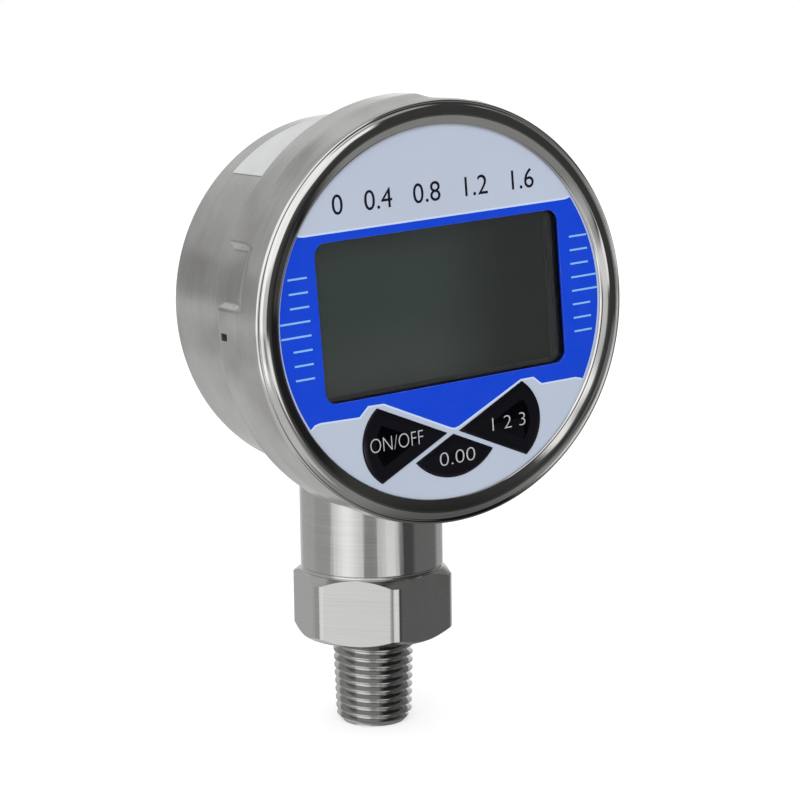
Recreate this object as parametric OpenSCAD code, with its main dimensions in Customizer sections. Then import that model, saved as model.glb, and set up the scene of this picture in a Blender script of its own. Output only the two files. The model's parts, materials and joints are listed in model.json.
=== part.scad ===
// Digital pressure gauge with a bottom connection, in a case with a bayonet bezel.
// The origin is on the thread's axis, at the underside of the hex. Z is up and the dial faces -Y.

/* [Dial] */
// Height of the dial's centre above the underside of the hex
dial_z = 56.7; // [55.5:0.1:64]
// Distance from the neck's axis forward to the front of the printed face
dial_front = 24.4; // [24.2:0.1:30]
// Turn of the printed face and all behind it, counter-clockwise from the front
face_turn = 4; // [0:0.5:8]
// Thickness of the printed face film
face_t = 0.4; // [0.2:0.05:0.6]

/* [Case] */
// Outside diameter of the drawn case
case_d = 60.2; // [60:0.1:64]
// Wall of the drawn case
case_wall = 1; // [0.6:0.1:1.1]
// Distance from the neck's axis back to the rear face
case_rear = 12.4; // [12.2:0.1:20]
// Outside rounding of the rear edge
case_edge_r = 2.4; // [1.6:0.1:2.8]
// How far the bayonet flange stands out from the case
flange_reach = 3; // [2.6:0.1:3.6]
// Thickness of the bayonet flange
flange_t = 1.2; // [0.8:0.1:1.6]

/* [Bezel] */
// Thickness of the bezel's sheet
bezel_wall = 0.8; // [0.5:0.05:1]
// Radius of the rolled front edge
roll_r = 2.2; // [1.9:0.05:2.3]
// Step from the skirt down to the roll
roll_step = 0.4; // [0.2:0.05:0.6]
// Width of the skirt's edge that is pressed in to form a lug
lug_width = 3.6; // [2.6:0.1:3.8]
// How far a lug is pressed in
lug_press = 1.1; // [0.9:0.05:1.4]
// Arc that one lug spans
lug_arc = 18; // [12:1:20]
// Angle from one lug to the next
lug_pitch = 82; // [76:1:90]
// Turn that frees the bezel
bezel_turn = 24; // [23:1:30]

/* [Printed face and keys] */
// Width of the display window
window_w = 44.6; // [40:0.1:45]
// Height of the display window
window_h = 25; // [20:0.1:25.2]
// Corner radius of the display window
window_r = 2; // [1:0.1:3]
// Height of the window's centre above the dial's centre
window_rise = 1.2; // [1:0.1:1.6]
// Gap between the window's lower edge and the tops of the side keys
key_below = 1.95; // [1.6:0.05:2.2]
// Distance from the dial's centre line to the tip of a side key
key_tip = 1.3; // [1.2:0.1:2]
// Half of the angle at a side key's tip
key_half_angle = 26; // [22:0.5:26]
// Radius of a side key's outer arc
key_arc_r = 7.4; // [6.8:0.1:7.4]
// Distance from the dial's centre line to a side key's arc centre
key_arc_u = 9.1; // [8.5:0.1:9.1]
// Radius of the middle key's arc
zero_arc_r = 9.2; // [8.5:0.1:9.6]
// Travel of a key
key_travel = 0.4; // [0.2:0.05:0.5]
// How far a key stands out from the printed face
key_proud = 0.15; // [0.05:0.05:0.3]

/* [Process connection] */
// Diameter of the neck
neck_d = 24; // [22:0.1:24.2]
// Width of the hex across its flats
hex_af = 24.2; // [23.6:0.1:27]
// Diameter that the hex's corners are turned to
hex_corner_d = 27.1; // [26.8:0.1:28]
// Height of the hex
hex_h = 11.3; // [9:0.1:11.8]
// Turn of the hex's front flat to the left, from the front
hex_turn = 42.5; // [0:0.5:60]
// Height of the chamfer at the hex's corners
hex_chamfer = 1.2; // [0.8:0.1:2]
// Diameter of the threaded shank, halfway up the thread's taper
shank_d = 13.2; // [12:0.1:14]
// Length of the threaded shank below the hex
shank_len = 15.4; // [12:0.1:20]
// Length of the chamfer on the shank's end
shank_chamfer = 1.3; // [0.8:0.1:2]
// Diameter of the shank's end face
shank_end_d = 10.5; // [10:0.1:11.5]
// Diameter of the pressure inlet
inlet_d = 5; // [3:0.1:6]
// Diameter of the pressure sensor
sensor_d = 19; // [18:0.1:19.2]
// Height of the pressure sensor
sensor_h = 11; // [9:0.1:11.4]

/* [Inside] */
// Thickness of the front housing's plate
plate_t = 3; // [2.8:0.1:3.4]
// Wall of the front housing's skirt
housing_wall = 1.2; // [0.9:0.1:1.3]
// Thickness of the window
lens_t = 1; // [0.6:0.1:1.2]
// Thickness of each of the display's two glasses
glass_t = 1.1; // [0.7:0.1:1.2]
// Room between the front housing's plate and the circuit board
board_room = 5.6; // [5.4:0.1:5.9]
// Thickness of the circuit board
board_t = 1.6; // [1:0.1:1.8]
// Diameter of a battery cell
cell_d = 10.4; // [9:0.1:10.5]
// Length of a battery cell's can
cell_len = 43.2; // [40:0.1:44]

/* [Hidden] */

// Overrun of a cut past the solid that it cuts
over = 0.5;
// Clearances: faces that rest, a shaft in its hole, a key in its opening, a bezel round its flange
rest_gap = 0.1;
shaft_gap = 0.08;
key_gap = 0.12;
slip_gap = 0.2;
bezel_gap = 0.3;

// Facets of large, middle and small circles
$fn = 48;
fn_large = 180;
fn_middle = 96;

// Radii, from the case outwards
case_r = case_d / 2;
case_in_r = case_r - case_wall;
flange_r = case_r + flange_reach;
bezel_in_r = flange_r + bezel_gap;
bezel_r = bezel_in_r + bezel_wall;
roll_centre_r = bezel_r - roll_step - roll_r;
roll_in_r = roll_r - bezel_wall;
lug_in_r = bezel_in_r - lug_press;

// Places along the dial's axis, from the printed face backwards
housing_front = dial_front - face_t;
roll_drop_share = 0.455;
roll_f = dial_front - roll_drop_share * roll_r;
lip_f = dial_front + rest_gap;
plate_back = housing_front - plate_t;
rim_drop = 2.1;
rim_t = 1.6;
seal_t = 1.2;
rim_front = housing_front - rim_drop;
rim_back = rim_front - rim_t;
flange_front = rim_back - seal_t;
flange_back = flange_front - flange_t;
lug_front = flange_back - slip_gap;
skirt_back = lug_front - bezel_wall - lug_width;
skirt_front = roll_f - roll_step;
board_front = plate_back - board_room;
board_back = board_front - board_t;

// Bayonet: four lugs, one opening in the flange for each, and a notch beside each lug
lug_count = 4;
lug_first = 85.5;
lug_end_arc = 1.5;
opening_play_arc = 2.25;
notch_offset = 16.5;
notch_arc = 3;
notch_depth = 2.3;
lug_angles = [for (i = [0 : lug_count - 1]) lug_first + i * lug_pitch];
opening_arc = lug_arc + lug_end_arc + 2 * opening_play_arc;
opening_floor_r = lug_in_r - rest_gap - bezel_gap;

// Front housing, face film and window
face_r = roll_centre_r - roll_in_r + rest_gap;
rim_r = bezel_r - bezel_wall - roll_step - bezel_gap;
housing_r = case_in_r - slip_gap;
housing_in_r = housing_r - housing_wall;
lens_lap = 0.9;
lens_w = window_w + 2 * lens_lap;
lens_h = window_h + 2 * lens_lap;
gasket_w = 1.2;
seal_w = 2;

// Keys, their stems and the switches under them
key_reach = key_arc_u - key_tip;
key_side = key_reach * cos(key_half_angle)
    + sqrt(pow(key_arc_r, 2) - pow(key_reach * sin(key_half_angle), 2));
key_drop = window_h / 2 - window_rise + key_below + key_side * sin(key_half_angle);
key_base = housing_front - plate_t / 4;
key_raise = 0.25;
key_bevel = 0.7;
zero_tip_step = 0.43;
zero_tip_drop = key_drop + zero_tip_step;
zero_half_angle = 90 - key_half_angle;
zero_arc_share = 0.265;
zero_arc_drop = zero_tip_drop - zero_arc_share * zero_arc_r;
stem_r = 1.75;
side_stem_shift = 1.2;
side_stem_u = key_arc_u + side_stem_shift;
zero_stem_step = 4;
zero_stem_drop = key_drop + zero_stem_step;
switch_w = 4.6;
switch_h = 3.5;
plunger_r = 1.2;
plunger_h = 1.6;
plunger_proud = 1;
switch_top = board_front + switch_h;
stem_end = switch_top + plunger_proud;
stem_places = [[-side_stem_u, -key_drop], [0, -zero_stem_drop], [side_stem_u, -key_drop]];

// Display stack on the circuit board
lcd_front = plate_back - rest_gap;
lcd_back = lcd_front - 2 * glass_t;
ledge_h = 2.2;
strip_t = 1.6;
strip_w = 40;
frame_border = 2.2;
frame_h = lens_h - 2 * ledge_h - 2 * rest_gap;

// Circuit board, its bosses and screws
board_r = housing_in_r - bezel_gap - slip_gap;
boss_r = 2.2;
screw_r = 1;
screw_head_r = 1.9;
screw_head_h = 1.1;
screw_reach = 4;
boss_shares = [[-0.37, 0.72], [0.37, 0.72], [-0.72, -0.58], [0.72, -0.58]];
boss_places = [for (b = boss_shares) b * board_r];

// Battery holder behind the board
chip_h = 1.2;
holder_wall = 1.2;
holder_rise = 2;
holder_front = board_back - chip_h - bezel_gap;
holder_floor_t = 1;
cell_gap = 0.8;
contact_t = 0.4;
contact_share = 0.8;
nub_r = 1.9;
nub_len = 1;
holder_in_w = cell_len + nub_len + 2 * contact_t + 2 * slip_gap;
holder_in_h = 2 * cell_d + 3 * cell_gap;
cell_f = holder_front - holder_floor_t - rest_gap - cell_d / 2;
holder_back = cell_f - cell_d / 5;
cell_v = (cell_d + cell_gap) / 2;
foot_r = 1.5;
lead_r = 0.6;
lead_share = 0.8;

// Process connection and the sensor in it
hex_edge = 0.3;
neck_r = neck_d / 2;
shank_r = shank_d / 2;
sensor_r = sensor_d / 2;
cavity_r = sensor_r + 0.5 * rest_gap;
socket_wall = 1;
spigot_r = cavity_r + socket_wall;
sensor_floor = hex_h + socket_wall;
spigot_rise = 3.5;
spigot_top = dial_z - case_in_r + spigot_rise;
saddle_top = dial_z - case_r + neck_r / 2;
ring_r = 0.85;
groove_w = 2.4;
groove_rise = 3.5;
retainer_h = 4;
retainer_wall = 3;
retainer_in_r = sensor_r - retainer_wall;
slot_w = 2;

// Sensor wires, bent once, and the connector on the back of the board
wire_r = 0.4;
wire_bend_r = 0.45;
wire_count = 4;
wire_pitch = 1.25;
wire_bend = 5;
connector_drop = 18;
connector_w = 8;
connector_h = 3.6;
connector_t = 3;
pin_h = 1.5;

// Label round the upper back of the case
label_t = 0.15;
label_back = -6;
label_front = 7.5;
label_arc = 90;

// Local frame of the dial: x to the right, y up, z forward out of the dial
module on_dial() translate([0, 0, dial_z]) rotate([90, 0, 0]) children();

// Local frame of the printed face and all that turns with it
module on_face() on_dial() rotate(face_turn) children();

// Straight piece of a flat outline from one place along the axis to another
module slab(from, to) translate([0, 0, from]) linear_extrude(to - from) children();

module disc(r, from, to, fn = fn_large) translate([0, 0, from])
    cylinder(r = r, h = to - from, $fn = fn);

module ring(outer, inner, from, to) difference() {
    disc(outer, from, to);
    disc(inner, from - over, to + over);
}

// Part of a ring with an arc centred on an angle
module ring_arc(outer, inner, from, to, middle, arc) rotate(middle - arc / 2)
    rotate_extrude(angle = arc, $fn = fn_large) translate([inner, from]) square([outer - inner, to - from]);

module rounded(w, h, r) hull() for (x = [-1, 1], y = [-1, 1])
    translate([x * (w / 2 - r), y * (h / 2 - r)]) circle(r);

// Block centred on x and y, from one place along the axis to another
module block(w, h, from, to) translate([-w / 2, -h / 2, from]) cube([w, h, to - from]);

// Solid of the case's outside, or of its inside when grow is minus the wall
module case_core(grow, mouth) rotate_extrude($fn = fn_large) difference() {
    translate([0, -case_rear - grow]) square([case_r + grow, mouth + case_rear + grow]);
    translate([case_r - case_edge_r, -case_rear - grow - over])
        difference() {
            square([case_edge_r + grow + over, case_edge_r + grow + over]);
            translate([0, case_edge_r + grow + over]) circle(case_edge_r + grow, $fn = fn_middle);
        }
}

module rear_case() color("silver") difference() {
    on_dial() difference() {
        union() {
            case_core(0, flange_front);
            difference() {
                disc(flange_r, flange_back, flange_front);
                for (a = lug_angles)
                    ring_arc(flange_r + over, opening_floor_r, flange_back - over, flange_front + over,
                        a + bezel_turn, opening_arc);
            }
        }
        case_core(-case_wall, flange_front + over);
    }
    cylinder(r = spigot_r + rest_gap / 2, h = dial_z, $fn = fn_large);
}

// Half section of the bezel: rolled front edge, step and skirt
module bezel_section() {
    difference() {
        translate([roll_centre_r, roll_f]) circle(roll_r, $fn = fn_middle);
        translate([roll_centre_r, roll_f]) circle(roll_in_r, $fn = fn_middle);
        translate([roll_centre_r - roll_r - over, roll_f - roll_r - over])
            square([roll_r + over, lip_f - roll_f + roll_r + over]);
        translate([roll_centre_r - over, roll_f - roll_r - over])
            square([roll_r + 2 * over, roll_r + over]);
    }
    translate([roll_centre_r + roll_in_r, skirt_front - bezel_wall])
        square([bezel_wall, roll_f - skirt_front + bezel_wall]);
    translate([bezel_in_r, skirt_back]) square([bezel_wall, skirt_front - skirt_back]);
}

// Half section of a lug: the sheet pressed inwards, and its front edge, which grips the flange
module lug_section() {
    translate([lug_in_r, skirt_back + rest_gap]) square([bezel_wall, lug_front - skirt_back - rest_gap]);
    translate([lug_in_r, lug_front - bezel_wall])
        square([bezel_in_r + bezel_wall / 2 - lug_in_r, bezel_wall]);
}

module bezel_ring() color("gainsboro") on_dial() {
    difference() {
        rotate_extrude($fn = fn_large) bezel_section();
        for (a = lug_angles) {
            ring_arc(bezel_r + over, bezel_in_r - over, skirt_back - over, lug_front - bezel_wall / 2,
                a, lug_arc);
            ring_arc(bezel_r + over, bezel_in_r - over, skirt_back - over, skirt_back + notch_depth,
                a + notch_offset, notch_arc);
        }
    }
    for (a = lug_angles) {
        rotate(a - lug_arc / 2 - lug_end_arc / 4)
            rotate_extrude(angle = lug_arc + lug_end_arc / 2, $fn = fn_large) lug_section();
        for (side = [-1, 1])
            ring_arc(bezel_in_r + bezel_wall / 4, lug_in_r + bezel_wall / 4, skirt_back + 2 * rest_gap,
                lug_front - bezel_wall / 4, a + side * lug_arc / 2, lug_end_arc);
    }
}

module bezel_gasket() color("dimgray") on_dial()
    ring(roll_centre_r + gasket_w / 2, roll_centre_r - gasket_w / 2, rim_front, roll_f + roll_in_r / 2);

module case_seal() color("dimgray") on_dial()
    ring(case_in_r + slip_gap + seal_w, case_in_r + slip_gap, flange_front, rim_back);

// Wedge that opens along x, with its tip at the origin
module wedge(half_angle, length) polygon([
    [0, 0], length * [cos(half_angle), sin(half_angle)], length * [cos(half_angle), -sin(half_angle)]
]);

// Outline of the right-hand key, made larger all round by grow
module side_key_outline(grow) intersection() {
    translate([key_tip - grow / sin(key_half_angle), -key_drop]) wedge(key_half_angle, 3 * key_arc_r);
    union() {
        translate([key_arc_u, -key_drop]) circle(key_arc_r + grow, $fn = fn_middle);
        translate([0, -key_drop - key_arc_r]) square([key_arc_u, 2 * key_arc_r]);
    }
}

// Outline of the middle key, made larger all round by grow
module zero_key_outline(grow) intersection() {
    translate([0, -zero_tip_drop + grow / sin(zero_half_angle)]) rotate(-90)
        wedge(zero_half_angle, 3 * zero_arc_r);
    translate([0, -zero_arc_drop]) circle(zero_arc_r + grow, $fn = fn_middle);
}

module key_outline(which, grow) {
    if (which == 0) mirror([1, 0]) side_key_outline(grow);
    if (which == 1) zero_key_outline(grow);
    if (which == 2) side_key_outline(grow);
}

module face_overlay() color("royalblue") on_face() difference() {
    disc(face_r, housing_front, dial_front);
    slab(housing_front - over, dial_front + over) {
        translate([0, window_rise]) rounded(window_w, window_h, window_r);
        for (which = [0 : 2]) key_outline(which, key_gap);
    }
}

module window_lens() color("lightgray", 0.4) on_face()
    slab(housing_front - lens_t, housing_front) translate([0, window_rise])
        rounded(lens_w - 2 * rest_gap, lens_h - 2 * rest_gap, window_r);

module front_housing() color("black") on_face() difference() {
    union() {
        disc(face_r, rim_back, housing_front);
        disc(rim_r, rim_back, rim_front);
        disc(housing_r, board_back, rim_front);
    }
    difference() {
        disc(housing_in_r, board_back - over, plate_back);
        for (p = boss_places) translate(p) disc(boss_r, board_front, plate_back + over, fn_middle);
    }
    slab(plate_back - over, housing_front + over)
        translate([0, window_rise]) rounded(window_w, window_h, window_r);
    slab(housing_front - lens_t, housing_front + over)
        translate([0, window_rise]) rounded(lens_w, lens_h, window_r);
    for (which = [0 : 2]) {
        slab(key_base - key_travel - rest_gap, housing_front + over) key_outline(which, key_gap);
        translate(stem_places[which])
            disc(stem_r + shaft_gap, plate_back - over, housing_front, fn_middle);
    }
    for (p = boss_places) translate(p)
        disc(screw_r, board_front - over, board_front + screw_reach + rest_gap, fn_middle);
}

// Key cap with a raised middle, and the stem that reaches down to its switch
module key(which) color("black") on_face() {
    slab(key_base, dial_front + key_proud) key_outline(which, 0);
    slab(dial_front, dial_front + key_proud + key_raise) key_outline(which, -key_bevel);
    translate(stem_places[which]) disc(stem_r, stem_end, key_base + key_proud, fn_middle);
}

module key_on_off() key(0);
module key_zero() key(1);
module key_unit() key(2);

module plunger(which) color("ivory") on_face() translate(stem_places[which])
    disc(plunger_r, stem_end - plunger_h, stem_end, fn_middle);

module plunger_on_off() plunger(0);
module plunger_zero() plunger(1);
module plunger_unit() plunger(2);

module switch_bodies() color("darkslategray") on_face() for (p = stem_places) translate(p)
    difference() {
        block(switch_w, switch_w, board_front, switch_top);
        disc(plunger_r + shaft_gap, stem_end - plunger_h - key_travel - rest_gap, switch_top + over,
            fn_middle);
    }

module lcd_glass() color("darkseagreen") on_face() translate([0, window_rise]) {
    block(lens_w, lens_h, lcd_front - glass_t, lcd_front);
    block(lens_w, lens_h - 2 * ledge_h, lcd_back, lcd_front - glass_t);
}

module lcd_frame() color("dimgray") on_face() translate([0, window_rise]) difference() {
    block(lens_w, frame_h, board_front, lcd_back);
    block(lens_w - 2 * frame_border, frame_h - 2 * frame_border, board_front - over, lcd_back + over);
}

module backlight_panel() color("white") on_face() translate([0, window_rise])
    block(lens_w - 2 * frame_border - 2 * slip_gap, frame_h - 2 * frame_border - 2 * slip_gap,
        board_front, lcd_back - rest_gap);

module elastomer_strips() color("lightpink") on_face() for (side = [-1, 1])
    translate([0, window_rise + side * (lens_h - ledge_h) / 2])
        block(strip_w, strip_t, board_front, lcd_front - glass_t);

module main_board() color("darkgreen") on_face() difference() {
    disc(board_r, board_back, board_front);
    for (p = boss_places) translate(p)
        disc(screw_r + rest_gap, board_back - over, board_front + over, fn_middle);
}

// Chips on the back of the board: [x, y, width, height] as shares of the board's radius
chip_shares = [
    [-0.3, 0.1, 0.36, 0.36], [0.2, 0.2, 0.22, 0.2], [0.25, -0.2, 0.2, 0.3], [-0.3, -0.3, 0.3, 0.14],
    [0.55, 0.1, 0.1, 0.2], [0, -0.36, 0.16, 0.08]
];

module board_components() color("darkslategray") on_face() for (c = chip_shares)
    translate([c[0], c[1]] * board_r)
        block(c[2] * board_r, c[3] * board_r, board_back - chip_h, board_back);

module board_screws() color("silver") on_face() for (p = boss_places) translate(p) {
    disc(screw_head_r, board_back - screw_head_h, board_back, fn_middle);
    disc(screw_r - rest_gap / 2, board_back - screw_head_h / 2, board_front + screw_reach, fn_middle);
}

module lead_connector() color("ivory") on_face() translate([0, -connector_drop])
    block(connector_w, connector_h, board_back - connector_t, board_back);

module battery_holder() color("black") on_face() translate([0, holder_rise]) {
    difference() {
        block(holder_in_w + 2 * holder_wall, holder_in_h + 2 * holder_wall, holder_back, holder_front);
        block(holder_in_w, holder_in_h, holder_back - over, holder_front - holder_floor_t);
    }
    for (x = [-1, 1], y = [-1, 1])
        translate([x * (holder_in_w / 2 - foot_r), y * (holder_in_h / 2 - foot_r)])
            disc(foot_r, holder_front - holder_floor_t / 2, board_back, fn_middle);
}

// Two cells side by side, head to tail
module battery_cells() color("goldenrod") on_face() for (side = [-1, 1])
    translate([0, holder_rise + side * cell_v, cell_f]) rotate([0, side * 90, 0])
        translate([0, 0, -(cell_len + nub_len) / 2]) {
            cylinder(r = cell_d / 2, h = cell_len, $fn = fn_middle);
            cylinder(r = nub_r, h = cell_len + nub_len);
        }

// A bridge at one end, and at the other two plates with tabs folded over the holder's wall
module battery_contacts() color("silver") on_face() translate([0, holder_rise]) {
    contact_u = holder_in_w / 2;
    plate_h = contact_share * cell_d;
    translate([-contact_u, -cell_v - plate_h / 2, holder_back])
        cube([contact_t, 2 * cell_v + plate_h, holder_front - holder_floor_t - rest_gap - holder_back]);
    for (side = [-1, 1]) translate([contact_u, side * cell_v, 0]) {
        translate([-contact_t, -plate_h / 2, holder_back - contact_t])
            cube([contact_t, plate_h, holder_front - holder_floor_t - rest_gap - holder_back]);
        translate([-contact_t, -foot_r, holder_back - contact_t])
            cube([holder_wall + 2 * contact_t, 2 * foot_r, contact_t]);
        translate([holder_wall, -foot_r, holder_back - contact_t])
            cube([contact_t, 2 * foot_r, 2 * foot_r]);
    }
}

// Two insulated leads from the contact tabs forward to the board
module battery_leads() color("firebrick") on_face() for (side = [-1, 1])
    translate([holder_in_w / 2 + holder_wall + contact_t + lead_r, holder_rise, 0])
        translate([0, side * lead_share * cell_v]) disc(lead_r, holder_back, board_back, fn_middle);

module sensor_capsule() color("lightgray") {
    difference() {
        translate([0, 0, sensor_floor]) cylinder(r = sensor_r, h = sensor_h, $fn = fn_large);
        translate([0, 0, sensor_floor + groove_rise]) difference() {
            cylinder(r = sensor_r + over, h = groove_w, $fn = fn_large);
            translate([0, 0, -over])
                cylinder(r = cavity_r - 2 * ring_r, h = groove_w + 2 * over, $fn = fn_large);
        }
        translate([0, 0, sensor_floor - over])
            cylinder(r = inlet_d, h = over + socket_wall / 2, $fn = fn_middle);
    }
    for (i = [0 : wire_count - 1]) translate([wire_x(i), 0, sensor_floor + sensor_h - over])
        cylinder(r = wire_r, h = pin_h + over);
}

module sensor_oring() color("dimgray") translate([0, 0, sensor_floor + groove_rise + groove_w / 2])
    rotate_extrude($fn = fn_large) translate([cavity_r - ring_r, 0]) circle(ring_r);

module sensor_retainer() color("gold") translate([0, 0, sensor_floor + sensor_h]) difference() {
    cylinder(r = sensor_r, h = retainer_h, $fn = fn_large);
    translate([0, 0, -over]) cylinder(r = retainer_in_r, h = retainer_h + 2 * over, $fn = fn_large);
    translate([-slot_w / 2, -sensor_r - over, retainer_h - slot_w])
        cube([slot_w, 2 * sensor_r + 2 * over, slot_w + over]);
}

// Place across the neck of one of the sensor's wires
function wire_x(i) = connector_drop * sin(face_turn) + (i - (wire_count - 1) / 2) * wire_pitch;

// Wires up from the sensor's pins, round one bend and forward into the connector
module sensor_leads() color("firebrick") for (i = [0 : wire_count - 1]) {
    wire_z = dial_z - connector_drop * cos(face_turn);
    wire_start = sensor_floor + sensor_h + pin_h;
    lap = wire_r / 4;
    translate([wire_x(i), 0, wire_start]) cylinder(r = wire_r, h = wire_z - wire_bend - wire_start + lap);
    translate([wire_x(i), -wire_bend, wire_z - wire_bend]) rotate([90, 0, 90])
        rotate_extrude(angle = 90) translate([wire_bend, 0]) circle(wire_bend_r);
    translate([wire_x(i), lap - wire_bend, wire_z]) rotate([90, 0, 0])
        cylinder(r = wire_r, h = board_back - connector_t - wire_bend + lap);
}

// Hex with its corners turned and chamfered at both ends
module hex_block() {
    flat_to_corner = (hex_corner_d - hex_af) / 2;
    intersection() {
        rotate(-hex_turn) cylinder(r = hex_af / sqrt(3), h = hex_h, $fn = 6);
        rotate_extrude($fn = fn_large) polygon([
            [0, 0], [hex_af / 2 - hex_edge, 0],
            [hex_corner_d / 2, hex_chamfer], [hex_corner_d / 2, hex_h - hex_chamfer],
            [hex_corner_d / 2 - flat_to_corner, hex_h], [0, hex_h]
        ]);
    }
}

// Turned connection: threaded shank, hex, neck cut to the case, and spigot into the case
module process_socket() color("lightsteelblue") difference() {
    union() {
        hex_block();
        rotate_extrude($fn = fn_large) polygon([
            [0, -shank_len], [shank_end_d / 2, -shank_len], [shank_r, shank_chamfer - shank_len],
            [shank_r, over], [0, over]
        ]);
        difference() {
            translate([0, 0, hex_h - over])
                cylinder(r = neck_r, h = saddle_top - hex_h + over, $fn = fn_large);
            on_dial() case_core(rest_gap / 2, flange_front);
        }
        translate([0, 0, hex_h]) cylinder(r = spigot_r, h = spigot_top - hex_h, $fn = fn_large);
    }
    translate([0, 0, -shank_len - over])
        cylinder(r = inlet_d / 2, h = shank_len + sensor_floor + 2 * over, $fn = fn_middle);
    translate([0, 0, sensor_floor]) cylinder(r = cavity_r, h = dial_z, $fn = fn_large);
}

module side_label() color("whitesmoke") on_dial()
    ring_arc(case_r + label_t, case_r, label_back, label_front, 90, label_arc);

rear_case();
bezel_ring();
bezel_gasket();
case_seal();
face_overlay();
window_lens();
front_housing();
key_on_off();
key_zero();
key_unit();
plunger_on_off();
plunger_zero();
plunger_unit();
switch_bodies();
lcd_glass();
lcd_frame();
backlight_panel();
elastomer_strips();
main_board();
board_components();
board_screws();
lead_connector();
battery_holder();
battery_cells();
battery_contacts();
battery_leads();
sensor_capsule();
sensor_oring();
sensor_retainer();
sensor_leads();
process_socket();
side_label();
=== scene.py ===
# %% [markdown]
# # A digital pressure gauge
# The solid model of the gauge is already packed, and it is loaded here as a fixed frame.
# Every object is in metres, in the frame of that model: the origin is on the axis of the thread,
# at the underside of the hex, Z is up, and the dial faces -Y.

# %% Load the frame
import json
import math

import bmesh
import bpy
from mathutils import Matrix, Vector


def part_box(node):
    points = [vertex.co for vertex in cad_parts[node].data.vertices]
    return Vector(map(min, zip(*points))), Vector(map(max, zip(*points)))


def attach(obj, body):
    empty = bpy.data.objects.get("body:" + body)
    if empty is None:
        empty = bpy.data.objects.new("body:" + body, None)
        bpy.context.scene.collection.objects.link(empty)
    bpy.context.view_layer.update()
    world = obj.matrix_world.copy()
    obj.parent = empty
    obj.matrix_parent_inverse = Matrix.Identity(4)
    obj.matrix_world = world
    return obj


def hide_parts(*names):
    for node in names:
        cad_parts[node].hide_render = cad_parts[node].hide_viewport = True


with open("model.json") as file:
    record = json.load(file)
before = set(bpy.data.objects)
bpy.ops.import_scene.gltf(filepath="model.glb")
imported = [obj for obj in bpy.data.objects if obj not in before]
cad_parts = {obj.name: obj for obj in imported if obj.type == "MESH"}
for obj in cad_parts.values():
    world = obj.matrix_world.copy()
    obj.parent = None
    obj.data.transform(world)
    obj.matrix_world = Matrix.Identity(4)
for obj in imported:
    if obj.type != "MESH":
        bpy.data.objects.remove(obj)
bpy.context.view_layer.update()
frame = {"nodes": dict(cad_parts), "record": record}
MM = 0.001

# %% [markdown]
# ## Where things are
# A gauge like this is drawn round its dial, so places on the dial are given as u to the right,
# v upwards and f forwards out of the dial, in millimetres. The printed face is turned a little
# in its case, as gauges often are, so it has a frame of its own.

# %% The frames of the dial and of its printed face
film_low, film_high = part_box("face_overlay")
dial_z = (film_low.z + film_high.z) / 2 / MM
dial_front = -film_low.y / MM
face_turn = 4
in_mm = Matrix.Diagonal((MM, MM, MM, 1))
on_dial = in_mm @ Matrix.Translation((0, 0, dial_z)) @ Matrix.Rotation(math.radians(90), 4, "X")
on_face = on_dial @ Matrix.Rotation(math.radians(face_turn), 4, "Z")
print(f"the dial's centre is {dial_z:.1f} mm up, and its face {dial_front:.1f} mm forward")

# %% [markdown]
# ## The camera
# The photograph is a close view with a long lens, from 30 degrees to the dial's left and 9 degrees
# above it, with the camera rolled a little. The values come from fitting the outline of the solid
# model to the photograph.

# %% Camera
camera_azimuth = math.radians(30.379)
camera_elevation = math.radians(9.296)
camera_roll = math.radians(-0.778)
camera_distance = 400.13
camera_target = Vector((5.938, 0, 38.951))
back = Vector((-math.sin(camera_azimuth) * math.cos(camera_elevation),
               -math.cos(camera_azimuth) * math.cos(camera_elevation), math.sin(camera_elevation)))
right = (-back).cross(Vector((0, 0, 1))).normalized()
upward = right.cross(-back)
rolled_right = right * math.cos(camera_roll) + upward * math.sin(camera_roll)
rolled_up = upward * math.cos(camera_roll) - right * math.sin(camera_roll)

lens = bpy.data.cameras.new("camera")
lens.sensor_fit, lens.sensor_width, lens.lens = "HORIZONTAL", 36, 106.96
lens.clip_start, lens.clip_end = 0.01, 20
camera = bpy.data.objects.new("camera", lens)
camera.matrix_world = Matrix.Translation((camera_target + back * camera_distance) * MM) @ Matrix(
    (rolled_right, rolled_up, back)).transposed().to_4x4()
bpy.context.scene.collection.objects.link(camera)
bpy.context.scene.camera = camera
print("the camera stands at", [round(x / MM, 1) for x in camera.location], "mm")

# %% [markdown]
# ## A net of nodes
# Materials, the world and the trees of Geometry Nodes are all nets of nodes. One small class
# adds a node, sets or joins its inputs, and hands back its first output.

# %% Node helper
class Net:
    """Nodes of one tree, with short ways to add and join them."""

    def __init__(self, tree):
        self.nodes, self.links = tree.nodes, tree.links

    def node(self, kind, inputs=None, **settings):
        node = self.nodes.new(kind)
        for name, value in settings.items():
            setattr(node, name, value)
        for key, value in (inputs or {}).items():
            if isinstance(value, bpy.types.NodeSocket):
                self.links.new(value, node.inputs[key])
            else:
                node.inputs[key].default_value = value
        return node

    def add(self, kind, inputs=None, **settings):
        return self.node(kind, inputs, **settings).outputs[0]

    def math(self, operation, *values):
        return self.add("ShaderNodeMath", dict(enumerate(values)), operation=operation)

    def ramp(self, value, low, high, start=0.0, end=1.0):
        return self.add("ShaderNodeMapRange", {"Value": value, "From Min": low, "From Max": high,
                                               "To Min": start, "To Max": end},
                        interpolation_type="SMOOTHSTEP")

    def band(self, value, low, high, softness):
        """1 between low and high and 0 outside them, with soft sides."""
        return self.math("MULTIPLY", self.ramp(value, low - softness, low + softness),
                         self.ramp(value, high - softness, high + softness, 1.0, 0.0))


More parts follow.
